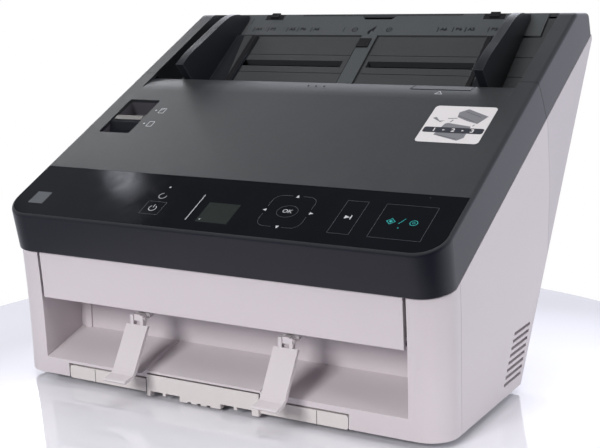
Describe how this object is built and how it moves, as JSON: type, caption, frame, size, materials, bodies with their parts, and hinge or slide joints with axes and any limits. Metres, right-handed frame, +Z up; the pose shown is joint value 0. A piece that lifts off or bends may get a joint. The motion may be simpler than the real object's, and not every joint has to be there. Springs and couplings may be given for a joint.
{
  "type": "document scanner",
  "caption": "Desktop sheet-fed document scanner: raked light body, dark hinged front door with control panel, rear paper hopper with guides, low exit bay with pull-out tray.",
  "frame": {"origin": "centre of the footprint box, on the table under the feet", "axes": "+X to the right seen from the front, +Y to the rear, +Z up"},
  "size_m": [0.3, 0.285, 0.2351],
  "materials": {
    "cover_dark": "fine grained dark charcoal",
    "gloss_black": "smooth and glossy",
    "display": "matt grey display behind a clear layer",
    "inner_black": "fine matt black",
    "body_light": "smooth satin, warm light grey",
    "bay_light": "fine matt, warm light grey",
    "tray_light": "smooth satin, slightly warmer light grey",
    "stopper_light": "smooth satin light grey",
    "lever_dark": "worn-in satin dark grey",
    "roller_rubber": "fine ribbed dark rubber",
    "retard_rubber": "matt grey rubber",
    "pinch_plastic": "smooth grey acetal",
    "foot_rubber": "soft matt black rubber",
    "shaft_steel": "ground steel",
    "plate_steel": "galvanised sheet",
    "scan_glass": "clear polished glass",
    "sensor_black": "matt black moulding",
    "gear_plastic": "natural acetal",
    "bushing_plastic": "oiled bearing plastic",
    "motor_metal": "zinc-plated can",
    "board_green": "coated circuit board",
    "socket_black": "matt black",
    "socket_metal": "plated"
  },
  "bodies": {
    "base": {"front_frame": "body_light", "left_side_panel": "body_light", "right_side_panel": "body_light", "rear_cover": "body_light", "hinge_pins": "shaft_steel", "power_inlet": "socket_black", "usb_socket": "socket_metal", "hopper_housing": "cover_dark", "hopper_plate": "inner_black", "stopper_brackets": "stopper_light", "base_plate": "plate_steel", "tray_rails": "bay_light", "roller_bushings": "bushing_plastic", "left_chassis": "plate_steel", "right_chassis": "plate_steel", "base_guide": "inner_black", "lower_glass": "scan_glass", "lower_sensor": "sensor_black", "drive_motor": "motor_metal", "main_board": "board_green", "rubber_feet": "foot_rubber", "latch_strikes": "shaft_steel"},
    "front_door": {"door_cover": "cover_dark", "control_panel": "gloss_black", "display_window": "display", "selector_well": "inner_black", "front_strip": "body_light", "door_frame": "inner_black", "door_guide": "inner_black", "upper_glass": "scan_glass", "upper_sensor": "sensor_black"},
    "release_latch": {"release_lever": "cover_dark", "latch_shaft": "shaft_steel"},
    "selector": {"feed_selector": "lever_dark"},
    "left_guide": {"left_document_guide": "inner_black"},
    "right_guide": {"right_document_guide": "inner_black"},
    "pinion": {"guide_pinion": "gear_plastic"},
    "extension": {"hopper_extension": "inner_black", "extension_clips": "lever_dark", "extension_latch": "lever_dark"},
    "stopper_left": {"left_stopper": "stopper_light"},
    "stopper_right": {"right_stopper": "stopper_light"},
    "tray": {"exit_tray": "tray_light", "tray_end_caps": "tray_light"},
    "tray_pull_out": {"tray_extension": "tray_light"},
    "feed_roller": {"feed_shaft": "shaft_steel", "feed_tyres": "roller_rubber"},
    "upper_drive_roller": {"upper_drive_shaft": "shaft_steel", "upper_drive_tyres": "roller_rubber"},
    "lower_drive_roller": {"lower_drive_shaft": "shaft_steel", "lower_drive_tyres": "roller_rubber"},
    "exit_drive_roller": {"exit_drive_shaft": "shaft_steel", "exit_drive_tyres": "roller_rubber"},
    "retard_roller": {"retard_shaft": "shaft_steel", "retard_tyres": "retard_rubber"},
    "upper_pinch_roller": {"upper_pinch_roller": "pinch_plastic"},
    "lower_pinch_roller": {"lower_pinch_roller": "pinch_plastic"},
    "exit_pinch_roller": {"exit_pinch_roller": "pinch_plastic"}
  },
  "joints": [
    {"name": "door_hinge", "type": "hinge", "parent": "base", "child": "front_door", "pos_m": [0, -0.114, 0.0615], "axis": [1, 0, 0], "range_deg": [0, 75]},
    {"name": "latch_pivot", "type": "hinge", "parent": "front_door", "child": "release_latch", "pos_m": [0, 0.015, 0.1784], "axis": [1, 0, 0], "range_deg": [0, 8], "stiffness_Nm_per_rad": 0.3, "springref_deg": -6.88},
    {"name": "selector_slide", "type": "slide", "parent": "front_door", "child": "selector", "axis": [0, 0.8829, 0.4695], "range_m": [0, 0.014]},
    {"name": "left_guide_slide", "type": "slide", "parent": "base", "child": "left_guide", "axis": [1, 0, 0], "range_m": [0, 0.078]},
    {"name": "right_guide_slide", "type": "slide", "parent": "base", "child": "right_guide", "axis": [-1, 0, 0], "range_m": [0, 0.078]},
    {"name": "guide_pinion_turn", "type": "hinge", "parent": "base", "child": "pinion", "pos_m": [0, 0.07545, 0.19351], "axis": [0, 0.6225, -0.7826], "range_deg": [0, 560]},
    {"name": "hopper_extension_slide", "type": "slide", "parent": "base", "child": "extension", "axis": [0, 0.7826, 0.6225], "range_m": [0, 0.06]},
    {"name": "left_stopper_swing", "type": "hinge", "parent": "base", "child": "stopper_left", "pos_m": [-0.0525, -0.1165, 0.051], "axis": [-1, 0, 0], "range_deg": [0, 55]},
    {"name": "right_stopper_swing", "type": "hinge", "parent": "base", "child": "stopper_right", "pos_m": [0.0525, -0.1165, 0.051], "axis": [-1, 0, 0], "range_deg": [0, 55]},
    {"name": "exit_tray_slide", "type": "slide", "parent": "base", "child": "tray", "axis": [0, -1, 0], "range_m": [0, 0.085]},
    {"name": "tray_extension_slide", "type": "slide", "parent": "tray", "child": "tray_pull_out", "axis": [0, -1, 0], "range_m": [0, 0.07]},
    {"name": "feed_roller_turn", "type": "hinge", "parent": "base", "child": "feed_roller", "pos_m": [0, 0.01431, 0.14105], "axis": [1, 0, 0], "continuous": true},
    {"name": "upper_drive_turn", "type": "hinge", "parent": "base", "child": "upper_drive_roller", "pos_m": [0, -0.01417, 0.11867], "axis": [1, 0, 0], "continuous": true},
    {"name": "lower_drive_turn", "type": "hinge", "parent": "base", "child": "lower_drive_roller", "pos_m": [0, -0.05126, 0.08222], "axis": [1, 0, 0], "continuous": true},
    {"name": "exit_drive_turn", "type": "hinge", "parent": "base", "child": "exit_drive_roller", "pos_m": [0, -0.0705, 0.06471], "axis": [1, 0, 0], "continuous": true},
    {"name": "retard_roller_turn", "type": "hinge", "parent": "front_door", "child": "retard_roller", "pos_m": [0, -0.00202, 0.15767], "axis": [1, 0, 0], "continuous": true},
    {"name": "upper_pinch_turn", "type": "hinge", "parent": "front_door", "child": "upper_pinch_roller", "pos_m": [0, -0.02454, 0.12923], "axis": [1, 0, 0], "continuous": true},
    {"name": "lower_pinch_turn", "type": "hinge", "parent": "front_door", "child": "lower_pinch_roller", "pos_m": [0, -0.06163, 0.09278], "axis": [1, 0, 0], "continuous": true},
    {"name": "exit_pinch_turn", "type": "hinge", "parent": "front_door", "child": "exit_pinch_roller", "pos_m": [0, -0.08018, 0.07456], "axis": [1, 0, 0], "continuous": true}
  ],
  "couplings": [
    {"joint": "right_guide_slide", "follows": "left_guide_slide", "ratio": 1},
    {"joint": "guide_pinion_turn", "follows": "left_guide_slide", "rad_per_m": 125}
  ]
}
